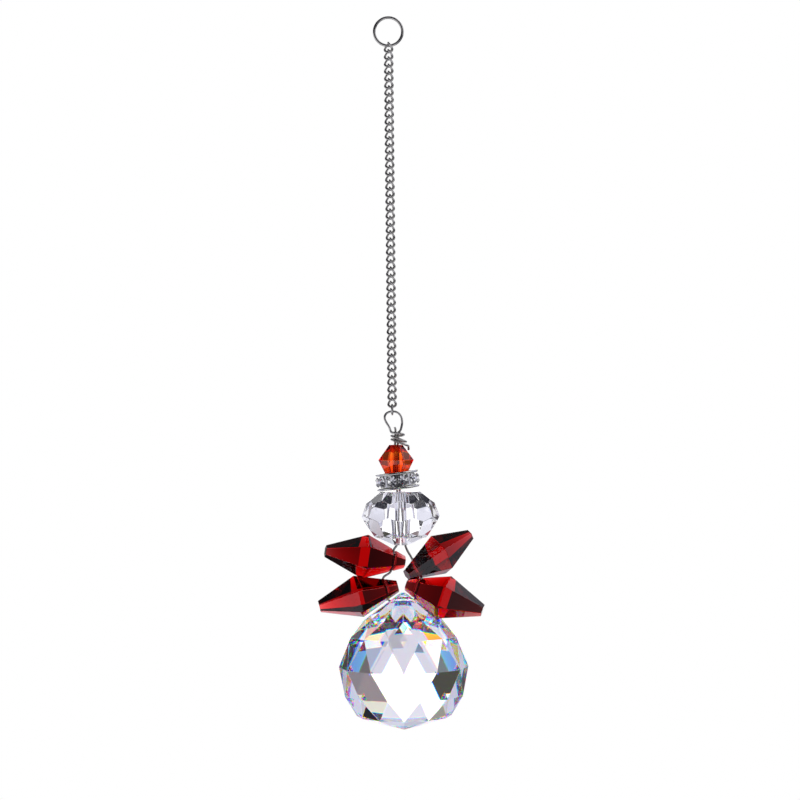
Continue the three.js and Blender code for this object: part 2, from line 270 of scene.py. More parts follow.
class StageSettings(bpy.types.PropertyGroup):
    """Camera, light and floor."""

    aim: spot("Aim", (1.88, 0, -90.68), "What the camera points at")
    lens: amount("Lens", 100, "Focal length in millimetres")
    sensor: amount("Sensor", 36, "Width of the camera's sensor in millimetres")
    field: length("Field", 190.4, "What the frame's width covers at the object")
    roll: turn("Roll", 0.594, "How far the camera is turned about its line of sight")
    floor_drop: length("Floor drop", 600, "From the ball's foot down to the floor")
    floor_radius: length("Floor radius", 3000, "Radius of the floor")
    floor: colour("Floor", (0.86, 0.86, 0.87), "The floor's paint")
    floor_light: amount("Floor light", 2.0, "Strength of the lamp over the floor")
    floor_light_spread: turn("Floor light spread", 60, "How wide that lamp is in the sky")


class SuncatcherSettings(bpy.types.PropertyGroup):
    """All settings of the suncatcher."""

    ring: PointerProperty(type=RingSettings)
    chain: PointerProperty(type=ChainSettings)
    wire: PointerProperty(type=WireSettings)
    red_bead: PointerProperty(type=RedBeadSettings)
    spacer: PointerProperty(type=SpacerSettings)
    clear_bead: PointerProperty(type=ClearBeadSettings)
    drop: PointerProperty(type=DropSettings)
    ball: PointerProperty(type=BallSettings)
    finish: PointerProperty(type=FinishSettings)
    stage: PointerProperty(type=StageSettings)


# How the four wing drops hang: the hole's place in millimetres, and in degrees the lift of the right end, its
# turn to the back, and the roll about the drop's own length
WINGS = (
    {"corner": "upper_left", "side": -1, "x": -0.35, "z": -128.85, "slope": -9.2, "yaw": 11, "roll": 30},
    {"corner": "lower_left", "side": -1, "x": -2.0, "z": -135.7, "slope": 13.6, "yaw": 4, "roll": -18},
    {"corner": "upper_right", "side": 1, "x": 5.45, "z": -130.85, "slope": 27.3, "yaw": 27, "roll": -21},
    {"corner": "lower_right", "side": 1, "x": 5.75, "z": -135.55, "slope": -18.5, "yaw": -10, "roll": 25},
)

# The bound wire's loop in millimetres, across and up from its top's height, and its short end in the loop
WIRE_LOOP = (
    (1.75, -4.7),
    (2.15, -3.7),
    (2.3, -2.2),
    (1.9, -0.9),
    (1.1, -0.2),
    (0.1, 0),
    (-0.9, -0.15),
    (-1.6, -0.7),
    (-1.8, -1.5),
    (-1.45, -2.5),
    (-0.8, -3.6),
)
SHORT_END = ((0.55, -3.7), (0.72, -4.3))

# The points after the wire's last turn, in millimetres
WIRE_TAIL = ((3.8, 0.55, -102.0), (3.8, 1.0, -102.5))

# The clear bead's rows of flat cuts: tilt from level in degrees, distance from the middle in millimetres, and
# the row's turn as a share of one facet
BEAD_ROWS = ((20, 8.5, 0), (51, 7.95, 0.5), (-33, 7.55, 0.5), (-66, 6.5, 0))

# The ball's rings of corners: latitude in degrees, and the ring's turn as a share of one facet
BALL_RINGS = ((54, 0), (33, 0.5), (4, 0), (-21, 0.5), (-43, 0))

# Metal: how fine its tarnish is, from where in the noise it shows and how dark it is, and what fine marks do
TARNISH_SCALE = 420
TARNISH_EDGES = ((0.5, 0), (0.78, 1))
TARNISH_SHADE = 0.62
MARK_ROUGHNESS = 0.16
MARK_STRENGTH = 0.12
MARK_DEPTH = 0.02 * MM

# Crystal: refractive indices, how far red and blue lie from the middle one, and the gloss of coloured crystal
CRYSTAL_BEND = 1.54
STONE_BEND = 1.56
COLOUR_SPREAD = 0.025
COLOURED_GLOSS = 0.18

# How deep coloured crystal is where light has taken its colour, and the small bead's painted fire and shade
# by height: its skin is tinted dark red at the base and pale yellow at the top
RUBY_DEPTH = 1.0 * MM
AMBER_DEPTH = 2.5 * MM
AMBER_PAINTED_LIGHT = ((-108, (0.55, 0.03, 0.02)), (-105.5, (0.95, 0.35, 0.1)), (-103, (1, 0.9, 0.35)))

# The tent of light: bright behind, as far as these shares of straight sideways, pale lavender at the sides,
# slats below, and cards hung in it. Turns are degrees from straight behind to the right, lifts are degrees
# up, and soft is how far an edge fades
BACK_LIGHT = (1.5, 1.5, 1.5, 1)
BACK_EDGES = (-0.5, 0.5)
BACK_SOFT = 0.1
SIDE_LIGHT = (0.66, 0.66, 0.8, 1)
SLATS_PER_DEGREE = 0.45
SLAT_EDGES = ((0.42, 0), (0.52, 1))
SLAT_LIFT = (-60, -36)
SLAT_SOFT = 2
SLAT_DARK = (0.04, 0.04, 0.05, 1)

# Cards that hang on both sides alike
PAIRED_CARDS = (
    {"turn": (-1, 22), "lift": (-34, -9.5), "soft": 0.5, "shade": (0.78, 0.76, 0.86)},
    {"turn": (-1, 200), "lift": (55, 100), "soft": 4, "shade": (0.1, 0.1, 0.11)},
    {"turn": (110, 200), "lift": (-100, 100), "soft": 4, "shade": (0.03, 0.03, 0.04)},
    {"turn": (130, 200), "lift": (-24, -8), "soft": 3, "shade": (0.45, 0.45, 0.5)},
    {"turn": (130, 200), "lift": (-60, -24), "soft": 3, "shade": (0.8, 0.8, 0.9)},
    {"turn": (172, 200), "lift": (42, 54), "soft": 2, "shade": (1, 1, 1)},
    {"turn": (95, 128), "lift": (-7, 8), "soft": 2, "shade": (1, 1, 1)},
    {"turn": (14, 20), "lift": (-17, -13.4), "soft": 0.5, "shade": (0.03, 0.03, 0.04)},
    {"turn": (35, 43), "lift": (-21, -16), "soft": 0.5, "shade": (0.03, 0.03, 0.04)},
    {"turn": (20, 25), "lift": (-33, -30), "soft": 0.5, "shade": (0.03, 0.03, 0.04)},
    {"turn": (3, 13), "lift": (19, 26), "soft": 0.5, "shade": (0.84, 0.84, 0.93)},
    {"turn": (-1, 22), "lift": (36, 50), "soft": 1, "shade": (0.6, 0.62, 0.75)},
)

# Cards that hang on one side
CARDS = (
    {"turn": (52, 130), "lift": (-60, -4), "soft": 3, "shade": (0.05, 0.05, 0.06)},
    {"turn": (-130, -52), "lift": (4, 60), "soft": 3, "shade": (0.05, 0.05, 0.06)},
    {"turn": (-135, -90), "lift": (-60, -8), "soft": 3, "shade": (0.9, 0.9, 0.95)},
    {"turn": (90, 135), "lift": (8, 60), "soft": 3, "shade": (0.9, 0.9, 0.95)},
    {"turn": (20, 40), "lift": (-15, -8), "soft": 1, "shade": (0.18, 0.16, 0.17)},
    {"turn": (-40, -22.5), "lift": (-15, -8), "soft": 0.5, "shade": (0.17, 0.2, 0.21)},
    {"turn": (23.5, 44), "lift": (-8, 0), "soft": 0.5, "shade": (0.25, 0.22, 0.24)},
    {"turn": (13, 44), "lift": (0, 10), "soft": 1, "shade": (0.3, 0.25, 0.26)},
    {"turn": (-44, -20), "lift": (-8, 5), "soft": 1, "shade": (0.08, 0.08, 0.065)},
    {"turn": (26, 33), "lift": (-36, -29), "soft": 1, "shade": (0.04, 0.04, 0.05)},
    {"turn": (-24, -17), "lift": (-26, -20), "soft": 1, "shade": (0.04, 0.04, 0.05)},
    {"turn": (-32, -26), "lift": (-30, -28.5), "soft": 0.5, "shade": (0.04, 0.04, 0.05)},
    {"turn": (0, 13), "lift": (-33, -20), "soft": 1, "shade": (0.5, 0.49, 0.56)},
    {"turn": (24, 37), "lift": (-20, -15), "soft": 1, "shade": (0.45, 0.5, 0.66)},
    {"turn": (14, 31), "lift": (11, 20), "soft": 1, "shade": (0.82, 0.8, 0.68)},
    {"turn": (17, 33), "lift": (25, 36), "soft": 1, "shade": (0.02, 0.02, 0.03)},
    {"turn": (-40, -26), "lift": (18, 30), "soft": 1, "shade": (0.35, 0.35, 0.3)},
)


# Materials


class Value:
    """One output of a material's nodes. Sums on it add Math nodes."""

    def __init__(self, finish, socket):
        self.finish = finish
        self.socket = socket

    def __add__(self, other):
        return self.finish.sum("ADD", self, other)

    def __sub__(self, other):
        return self.finish.sum("SUBTRACT", self, other)

    def __rsub__(self, other):
        return self.finish.sum("SUBTRACT", other, self)

    def __mul__(self, other):
        return self.finish.sum("MULTIPLY", self, other)

    __radd__ = __add__
    __rmul__ = __mul__


class Finish:
    """The node tree of a material or a world while it is being made."""

    def __init__(self, owner):
        owner.use_nodes = True
        self.owner = owner
        self.tree = owner.node_tree
        self.tree.nodes.clear()

    def node(self, kind, settings=None, inputs=None, output=0):
        """Adds a node, sets its settings first and then its inputs, and gives one of its outputs."""
        made = self.tree.nodes.new(kind)
        for name, value in (settings or {}).items():
            if name == "stops":
                while len(made.color_ramp.elements) < len(value):
                    made.color_ramp.elements.new(0.5)
                for stop, (position, shade) in zip(made.color_ramp.elements, value):
                    stop.position = position
                    stop.color = (*shade, 1)
            else:
                setattr(made, name, value)
        for name, value in (inputs or {}).items():
            if isinstance(value, Value):
                self.tree.links.new(value.socket, made.inputs[name])
            elif value is not None:
                made.inputs[name].default_value = value
        return Value(self, made.outputs[output]) if made.outputs else None

    def sum(self, operation, first, second):
        """One Math node."""
        return self.node("ShaderNodeMath", {"operation": operation}, {0: first, 1: second})

    def ramp(self, value, stops):
        """A value looked up in a list of (position, level) stops."""
        shades = [(position, (level, level, level)) for position, level in stops]
        return self.node("ShaderNodeValToRGB", {"stops": shades}, {"Fac": value})

    def band(self, value, low, high, soft):
        """One between two levels and nought outside them, with soft edges."""
        rise = {"Value": value, "From Min": low - soft, "From Max": low + soft}
        fall = {"Value": value, "From Min": high + soft, "From Max": high - soft}
        return self.node("ShaderNodeMapRange", None, rise) * self.node("ShaderNodeMapRange", None, fall)

    def by_height(self, stops):
        """A colour that changes with height, from (height in mm, colour) stops."""
        place = self.node("ShaderNodeTexCoord", output="Object")
        height = self.node("ShaderNodeSeparateXYZ", None, {"Vector": place}, "Z") * (1 / MM)
        low, high = stops[0][0], stops[-1][0]
        share = (height - low) * (1 / (high - low))
        tints = [((level - low) / (high - low), tint) for level, tint in stops]
        return self.node("ShaderNodeValToRGB", {"stops": tints}, {"Fac": share})

    def coat(self, inputs, inside=None):
        """Ends a material with one surface and what fills the body under it."""
        surface = self.node("ShaderNodeBsdfPrincipled", None, inputs)
        self.node("ShaderNodeOutputMaterial", None, {"Surface": surface, "Volume": inside})

    def mix(self, factor, first, second):
        """Blends two colours."""
        settings = {"data_type": "RGBA"}
        return self.node("ShaderNodeMix", settings, {"Factor": factor, "A": first, "B": second}, "Result")


def rgba(shade, by=1.0):
    """A colour setting as a node takes it, made lighter or darker."""
    return (shade[0] * by, shade[1] * by, shade[2] * by, 1)


def metal_finish(name, shade, roughness, grain):
    """Plated metal with faint tarnish and fine marks from drawing or tumbling."""
    finish = Finish(bpy.data.materials.new(name))
    place = finish.node("ShaderNodeTexCoord", output="Object")
    cloud = finish.node("ShaderNodeTexNoise", None, {"Vector": place, "Scale": TARNISH_SCALE, "Detail": 4})
    marks = finish.node("ShaderNodeTexNoise", None, {"Vector": place, "Scale": grain, "Detail": 3})
    tint = finish.mix(finish.ramp(cloud, TARNISH_EDGES), rgba(shade), rgba(shade, TARNISH_SHADE))
    relief = {"Strength": MARK_STRENGTH, "Distance": MARK_DEPTH, "Height": marks}
    bump = finish.node("ShaderNodeBump", None, relief)
    rough = marks * MARK_ROUGHNESS + roughness
    finish.coat({"Base Color": tint, "Metallic": 1.0, "Roughness": rough, "Normal": bump})


def clear_finish(name, shade, bend):
    """Clear polished crystal."""
    finish = Finish(bpy.data.materials.new(name))
    finish.coat({"Base Color": rgba(shade), "Roughness": 0.0, "IOR": bend, "Transmission Weight": 1.0})


def rainbow_finish(name, shade, bend, spread):
    """Clear crystal that parts the colours of light as it comes in: red bends least and blue most."""
    finish = Finish(bpy.data.materials.new(name))
    rays = []
    for index in range(3):
        third = [0, 0, 0, 1]
        third[index] = 3 * shade[index]
        glass = {"Color": third, "Roughness": 0.0, "IOR": bend + (index - 1) * spread}
        rays.append(finish.node("ShaderNodeBsdfGlass", None, glass))
    warm = finish.node("ShaderNodeMixShader", None, {0: 1 / 2, 1: rays[0], 2: rays[1]})
    parted = finish.node("ShaderNodeMixShader", None, {0: 1 / 3, 1: warm, 2: rays[2]})
    plain = finish.node("ShaderNodeBsdfGlass", None, {"Color": rgba(shade), "Roughness": 0.0, "IOR": bend})
    inside = finish.node("ShaderNodeNewGeometry", output="Backfacing")
    surface = finish.node("ShaderNodeMixShader", None, {0: inside, 1: parted, 2: plain})
    finish.node("ShaderNodeOutputMaterial", None, {"Surface": surface})


def coloured_finish(name, shade, bend, depth, stops=None):
    """Crystal coloured all through, so paler where it is thin. Stops tint its skin by height in mm, which
    paints light and shade on it.
    """
    finish = Finish(bpy.data.materials.new(name))
    # Where stops are given, the tint by height is painted light: darker at the base and paler at the top.
    tint = finish.by_height(stops) if stops else (1, 1, 1, 1)
    glass = {
        "Base Color": tint,
        "Roughness": 0.0,
        "IOR": bend,
        "Specular IOR Level": COLOURED_GLOSS,
        "Transmission Weight": 1.0,
    }
    inside = finish.node("ShaderNodeVolumeAbsorption", None, {"Color": rgba(shade), "Density": 1 / depth})
    finish.coat(glass, inside)


def foil_finish(name, shade):
    """The mirror foil on the back of a stone."""
    finish = Finish(bpy.data.materials.new(name))
    finish.coat({"Base Color": rgba(shade), "Metallic": 1.0, "Roughness": 0.04})


# Modelling


def rest():
    """Leaves edit mode with nothing selected."""
    if bpy.context.mode != "OBJECT":
        bpy.ops.object.mode_set(mode="OBJECT")
    bpy.ops.object.select_all(action="DESELECT")


def select_only(piece):
    """Leaves one piece selected and active."""
    rest()
    piece.select_set(True)
    bpy.context.view_layer.objects.active = piece


def fix_place(piece, matrix):
    """Moves a piece and puts its place into its mesh."""
    select_only(piece)
    piece.matrix_world = matrix @ piece.matrix_world
    bpy.ops.object.transform_apply(location=True, rotation=True, scale=True)


def copy_of(piece, name):
    """A copy with a mesh of its own."""
    double = piece.copy()
    double.data = piece.data.copy()
    double.name = name
    bpy.context.collection.objects.link(double)
    return double


def select_where(piece, test):
    """Selects the corners of a piece whose place passes a test, and leaves it in edit mode."""
    select_only(piece)
    mesh = piece.data
    mesh.polygons.foreach_set("select", [False] * len(mesh.polygons))
    mesh.edges.foreach_set("select", [False] * len(mesh.edges))
    mesh.vertices.foreach_set("select", [bool(test(corner.co)) for corner in mesh.vertices])
    bpy.ops.object.mode_set(mode="EDIT")


def close_mesh(weld):
    """Joins the corners that meet in the mesh being edited, and turns its faces outwards."""
    bpy.ops.mesh.select_all(action="SELECT")
    bpy.ops.mesh.remove_doubles(threshold=weld)
    bpy.ops.mesh.normals_make_consistent(inside=False)


def spun(name, outline, steps):
    """A body of revolution: an outline of (radius, height) points, spun round Z."""
    rest()
    bpy.ops.mesh.primitive_plane_add(size=MM)
    piece = bpy.context.object
    piece.name = name
    bpy.ops.object.mode_set(mode="EDIT")
    bpy.ops.mesh.merge(type="CENTER")
    radius, height = outline[0]
    bpy.ops.transform.translate(value=(radius, 0, height))
    for (radius, height), (next_radius, next_height) in zip(outline, outline[1:]):
        step = (next_radius - radius, 0, next_height - height)
        bpy.ops.mesh.extrude_vertices_move(TRANSFORM_OT_translate={"value": step})
    bpy.ops.mesh.select_all(action="SELECT")
    bpy.ops.mesh.spin(steps=steps, angle=2 * math.pi, center=(0, 0, 0), axis=(0, 0, 1))
    close_mesh(WELD)
    bpy.ops.object.mode_set(mode="OBJECT")
    return piece


def hulled(name, rings, corners):
    """A faceted body round level rings of corners: their radius, height and turn as a share of one facet."""
    rest()
    for index, (radius, height, share) in enumerate(rings):
        bpy.ops.mesh.primitive_circle_add(
            vertices=corners,
            radius=radius,
            location=(0, 0, height),
            rotation=(0, 0, share * 2 * math.pi / corners),
        )
        if index == 0:
            piece = bpy.context.object
            piece.name = name
            bpy.ops.object.mode_set(mode="EDIT")
    bpy.ops.mesh.select_all(action="SELECT")
    bpy.ops.mesh.convex_hull(join_triangles=False)
    bpy.ops.mesh.select_all(action="SELECT")
    bpy.ops.mesh.dissolve_limited(angle_limit=math.radians(SAME_FACET))
    bpy.ops.mesh.select_all(action="SELECT")
    bpy.ops.mesh.normals_make_consistent(inside=False)
    fix_place(piece, Matrix())
    return piece


def drill(piece, diameter, start, end):
    """Cuts a round hole through a piece from one point to another."""
    rest()
    along = end - start
    bpy.ops.mesh.primitive_cylinder_add(
        vertices=HOLE_SIDES,
        radius=diameter / 2,
        depth=along.length,
        location=(start + end) / 2,
        rotation=along.to_track_quat("Z", "Y").to_euler(),
    )
    bit = bpy.context.object
    hole = piece.modifiers.new("Hole", "BOOLEAN")
    hole.operation = "DIFFERENCE"
    hole.object = bit
    select_only(piece)
    bpy.ops.object.modifier_apply(modifier=hole.name)
    bpy.data.objects.remove(bit)
    shade_flats(piece)


def shade_flats(piece):
    """Leaves the facets flat and the holes round."""
    select_only(piece)
    bpy.ops.object.shade_smooth_by_angle(angle=math.radians(ROUND_HOLE))


def polish_edges(piece, width):
    """Breaks the edges between facets."""
    select_only(piece)
    edge = piece.modifiers.new("Edge", "BEVEL")
    edge.width = width
    edge.segments = 1
    edge.limit_method = "ANGLE"
    edge.angle_limit = math.radians(SHARP_EDGE)
    edge.use_clamp_overlap = True
    bpy.ops.object.modifier_apply(modifier=edge.name)
    shade_flats(piece)


def dress(piece, node, slot, *finishes):
    """Gives a finished piece its materials and puts it in the place of its solid."""
    piece.data.materials.clear()
    for finish in finishes:
        piece.data.materials.append(bpy.data.materials[finish])
    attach(piece, BODY)
    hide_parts(node)


def wing_place(wing):
    """Where a wing drop's own frame lies: its origin in the hole, its length along X."""
    lifted = Matrix.Rotation(-math.radians(wing["slope"]), 4, "Y")
    turned = Matrix.Rotation(math.radians(wing["yaw"]), 4, "Z") @ lifted
    return Matrix.Translation((wing["x"] * MM, 0, wing["z"] * MM)) @ turned


# Operators


class SUNCATCHER_OT_ring(bpy.types.Operator):
    """Models the wire ring, with the seam where its ends meet"""

    bl_idname = "suncatcher.ring"
    bl_label = "Hanging ring"

    def execute(self, context):
        size = context.scene.suncatcher.ring
        rest()
        middle = size.inner_radius + size.wire / 2
        bpy.ops.mesh.primitive_torus_add(
            major_radius=middle,
            minor_radius=size.wire / 2,
            major_segments=RING_STEPS,
            minor_segments=RING_SIDES,
        )
        ring = context.object
        ring.name = "ring_wire"
        seam = Vector((math.cos(size.seam_turn), math.sin(size.seam_turn), 0))
        near = size.wire / 20
        select_where(ring, lambda place: abs(place.cross(seam).z) < near and place.dot(seam) > 0)
        bpy.ops.transform.shrink_fatten(value=-size.seam_depth)
        rest()
        upright = Matrix.Translation((0, 0, -size.inner_radius)) @ Matrix.Rotation(math.pi / 2, 4, "X")
        fix_place(ring, upright @ Matrix.Rotation(math.pi / 2, 4, "Z"))
        bpy.ops.object.shade_smooth_by_angle(angle=math.radians(ROUND_RING))
        dress(ring, "hanging_ring", "steel_wire", "drawn steel wire")
        return {"FINISHED"}


class SUNCATCHER_OT_chain(bpy.types.Operator):
    """Models the curb chain from one twisted link, with an end link at each end"""

    bl_idname = "suncatcher.chain"
    bl_label = "Curb chain"

    def link(self, size, half_length, foot_turn, head_turn):
        """One link round the origin: a stretched ring of wire, twisted over its length."""
        rest()
        radius = (size.width - size.wire) / 2
        bpy.ops.mesh.primitive_torus_add(
            major_radius=radius,
            minor_radius=size.wire / 2,
            major_segments=LINK_STEPS,
            minor_segments=LINK_SIDES,
            rotation=(math.pi / 2, 0, 0),
        )
        link = bpy.context.object
        fix_place(link, Matrix())
        waist = radius / 20
        for side in (1, -1):
            select_where(link, lambda place, side=side: place.z * side > waist)
            bpy.ops.transform.translate(value=(0, 0, side * (half_length - radius)))
            rest()
        select_only(link)
        twist = link.modifiers.new("Twist", "SIMPLE_DEFORM")
        twist.deform_method = "TWIST"
        twist.deform_axis = "Z"
        twist.angle = (head_turn - foot_turn) * (half_length + size.wire / 2) / half_length
        bpy.ops.object.modifier_apply(modifier=twist.name)
        fix_place(link, Matrix.Rotation((head_turn + foot_turn) / 2, 4, "Z"))
        return link

    def execute(self, context):
        settings = context.scene.suncatcher
        size = settings.chain
        head = -2 * settings.ring.inner_radius + size.wire / 2 + size.hook_gap
        foot = settings.wire.loop_top - settings.wire.thickness / 2 - size.wire / 2 - size.hook_gap
        pitch = (head - foot - size.wire + size.bite) / size.count
        half_length = (pitch - size.bite + size.wire) / 2
        chain = self.link(size, half_length, size.foot_turn, size.head_turn)
        chain.name = "chain_links"
        links = [copy_of(chain, "link") for index in range(size.count - 2)]
        links.append(self.link(size, half_length, size.head_turn, size.head_turn))
        for index, link in enumerate([chain, *links]):
            fix_place(link, Matrix.Translation((0, 0, head - half_length - index * pitch)))
        select_only(chain)
        for link in links:
            link.select_set(True)
        bpy.ops.object.join()
        bpy.ops.object.shade_smooth()
        dress(chain, "curb_chain", "chain_steel", "plated chain steel")
        return {"FINISHED"}


class SUNCATCHER_OT_wire(bpy.types.Operator):
    """Bends the bound wire along its way through the beads, drops and ball, and round its loop and wrap"""

    bl_idname = "suncatcher.wire"
    bl_label = "Bound wire"

    def through_drop(self, wing, size):
        """The wire's way through one drop, from its upper mouth to its lower one."""
        slope = (size.radius - size.end_radius) / (size.length / 2)
        reach = size.end_radius + size.hole_from_end * slope
        place = wing_place(wing)
        return [place @ Vector((0, 0, reach * share)) for share in (1, 0.5, 0, -0.5, -1)]

    def strands(self, settings):
        """The two strands in the upper beads: their middle, height and half gap, in millimetres."""
        gap = settings.wire.spread / MM
        pieces = (settings.red_bead, settings.spacer, settings.clear_bead)
        red, spacer, clear = [piece.place[0] / MM for piece in pieces]
        return (
            (1.05, -98.4, gap),
            (1.05, -99.7, gap),
            (0.9, -101.2, gap),
            (red, -103, gap),
            (red, -106.5, gap),
            (spacer, -109, gap),
            (1.3, -112.2, gap),
            (1.55, -115, 0.4),
            (1.7, -119, 0.6),
            (clear, -123, 0.95),
            (clear, -125.3, 1.05),
        )

    def wrap(self, size):
        """The turns of the wire's end under the loop, each wider and lower than the last."""
        points = []
        for index in range(int(size.wrap_turns * WRAP_STEPS) + 1):
            turns = index / WRAP_STEPS
            angle = 2 * math.pi * turns
            across = (size.wrap_across + size.wrap_growth * turns) * (1 - math.cos(angle))
            drop = size.wrap_pitch * turns + size.wrap_lean * min(turns * turns, 1) * across
            right = size.wrap_middle - size.wrap_across + across
            points.append(Vector((right, -size.wrap_deep * math.sin(angle), size.wrap_top - drop)))
        return points

    def way(self, settings):
        """All points of the wire: its short end, down the left, up the right, the loop and the wrap."""
        size = settings.wire
        ball = settings.ball
        strands = self.strands(settings)
        left = [Vector((middle - gap, 0, height)) * MM for middle, height, gap in strands]
        right = [Vector((middle + gap, 0, height)) * MM for middle, height, gap in reversed(strands)]
        drops = [self.through_drop(wing, settings.drop) for wing in WINGS]
        upper_left, lower_left, upper_right, lower_right = drops
        reaches = (-ball.hole_reach, 0, ball.hole_reach)
        hole = [Vector(ball.place) + Vector((reach, 0, ball.hole_height)) for reach in reaches]
        short_end, loop = [
            [Vector((across * MM, 0, size.loop_top + up * MM)) for across, up in points]
            for points in (SHORT_END, WIRE_LOOP)
        ]
        return [
            *short_end,
            *left,
            *upper_left,
            *lower_left,
            *hole,
            *reversed(lower_right),
            *reversed(upper_right),
            *right,
            *loop,
            *self.wrap(size),
            *[Vector(point) * MM for point in WIRE_TAIL],
        ]

    def execute(self, context):
        settings = context.scene.suncatcher
        rest()
        bpy.ops.curve.primitive_bezier_curve_add()
        wire = context.object
        wire.name = "bound_wire"
        wire.data.splines.clear()
        way = self.way(settings)
        line = wire.data.splines.new("BEZIER")
        line.bezier_points.add(len(way) - 1)
        for point, place in zip(line.bezier_points, way):
            point.co = place
            point.handle_left_type = "AUTO"
            point.handle_right_type = "AUTO"
        wire.data.resolution_u = WIRE_STEPS
        wire.data.bevel_depth = settings.wire.thickness / 2
        wire.data.bevel_resolution = WIRE_ROUNDING
        wire.data.use_fill_caps = True
        select_only(wire)
        bpy.ops.object.convert(target="MESH")
        wire = context.object
        bpy.ops.object.mode_set(mode="EDIT")
        close_mesh(WELD)
        fix_place(wire, Matrix())
        bpy.ops.object.shade_smooth_by_angle(angle=math.radians(ROUND_WIRE))
        dress(wire, "binding_wire", "steel_wire", "drawn steel wire")
        return {"FINISHED"}


class SUNCATCHER_OT_red_bead(bpy.types.Operator):
    """Cuts and drills the amber-red bicone bead"""

    bl_idname = "suncatcher.red_bead"
    bl_label = "Red bead"

    def execute(self, context):
        settings = context.scene.suncatcher
        size = settings.red_bead
        rings = (
            (size.top_radius, size.top_height, 0.5),
            (size.radius, 0, 0.5),
            (size.base_radius, -size.base_depth, 0.5),
        )
        bead = hulled("red_bead", rings, size.facets)
        far = Vector((0, 0, 2 * size.top_height))
        polish_edges(bead, settings.finish.edge)
        drill(bead, size.hole, -far, far)
        fix_place(bead, Matrix.Translation(size.place))
        dress(bead, "bicone_bead", "amber_red_crystal", "amber red crystal")
        return {"FINISHED"}


class SUNCATCHER_OT_spacer(bpy.types.Operator):
    """Turns the silver spacer and sets the stones round it"""

    bl_idname = "suncatcher.spacer"
    bl_label = "Stone-set spacer"

    def setting(self, size):
        """The spool that holds the stones."""
        inner = size.half_height - size.flange
        bulge = size.half_height - size.flange / 2
        lip = size.radius - size.flange / 4
        floor = size.half_height - size.dish_depth
        outline = (
            (size.hole_radius, -size.half_height),
            (lip, -size.half_height),
            (size.radius, -bulge),
            (lip, -inner),
            (size.hub_radius, -inner),
            (size.hub_radius, inner),
            (lip, inner),
            (size.radius, bulge),
            (lip, size.half_height),
            (size.dish_radius + size.flange / 2, size.half_height),
            (size.dish_radius, floor),
            (size.hole_radius, floor),
            (size.hole_radius, -size.half_height),
        )
        spool = spun("spacer_setting", outline, SPOOL_STEPS)
        polish_edges(spool, size.edge)
        bpy.ops.object.shade_smooth_by_angle(angle=math.radians(ROUND_SPOOL))
        return spool

    def stone(self, size):
        """One stone with its point to the back, foil behind the girdle."""
        rings = (
            (size.table_radius, size.crown, 0.5),
            (size.stone_radius, 0, 0.5),
            (size.stone_radius * size.point, -size.pavilion, 0.5),
        )
        stone = hulled("stone", rings, size.stone_facets)
        polish_edges(stone, size.stone_edge)
        fix_place(stone, Matrix.Rotation(math.pi / 2, 4, "X"))
        for face in stone.data.polygons:
            face.material_index = int(face.center.y > size.foil_from)
        return stone

    def execute(self, context):
        size = context.scene.suncatcher.spacer
        leaning = Matrix.Translation(size.place) @ Matrix.Rotation(-size.lean, 4, "Y")
        spool = self.setting(size)
        fix_place(spool, leaning)
        dress(spool, "rondelle_setting", "silver_plate", "silver plate")
        pattern = self.stone(size)
        faces = [face.material_index for face in pattern.data.polygons]
        for index in range(size.stones):
            number = f"{index + 1:02d}"
            stone = copy_of(pattern, "stone_" + number)
            seat = Matrix.Rotation(2 * math.pi * (index + 0.5) / size.stones, 4, "Z")
            fix_place(stone, leaning @ seat @ Matrix.Translation((0, -size.girdle_at, 0)))
            dress(stone, "rhinestone_" + number, "clear_stone", "clear stone", "stone foil")
            stone.data.polygons.foreach_set("material_index", faces)
        bpy.data.objects.remove(pattern)
        return {"FINISHED"}


class SUNCATCHER_OT_clear_bead(bpy.types.Operator):
    """Grinds the wide clear bead from a round blank, one flat at a time, and drills it"""

    bl_idname = "suncatcher.clear_bead"
    bl_label = "Clear bead"

    def execute(self, context):
        settings = context.scene.suncatcher
        size = settings.clear_bead
        rest()
        blank_radius = 3 * size.top
        height = size.top + size.base
        bpy.ops.mesh.primitive_cylinder_add(vertices=size.facets, radius=blank_radius, depth=height)
        bead = context.object
        bead.name = "clear_bead_cut"
        fix_place(bead, Matrix.Translation((0, 0, (size.top - size.base) / 2)))
        bpy.ops.object.mode_set(mode="EDIT")
        for tilt, distance, share in BEAD_ROWS:
            level = math.cos(math.radians(tilt))
            up = math.sin(math.radians(tilt))
            for index in range(size.facets):
                angle = 2 * math.pi * (index + share) / size.facets
                normal = Vector((level * math.sin(angle), -level * math.cos(angle), up))
                bpy.ops.mesh.select_all(action="SELECT")
                bpy.ops.mesh.bisect(
                    plane_co=normal * distance * MM,
                    plane_no=normal,
                    use_fill=True,
                    clear_outer=True,
                    threshold=WELD,
                )
        close_mesh(FLAT_WELD)
        far = Vector((0, 0, 2 * size.top))
        polish_edges(bead, settings.finish.edge)
        drill(bead, size.hole, -far, far)
        fix_place(bead, Matrix.Translation(size.place))
        dress(bead, "clear_bead", "clear_crystal", "clear bead crystal")
        return {"FINISHED"}


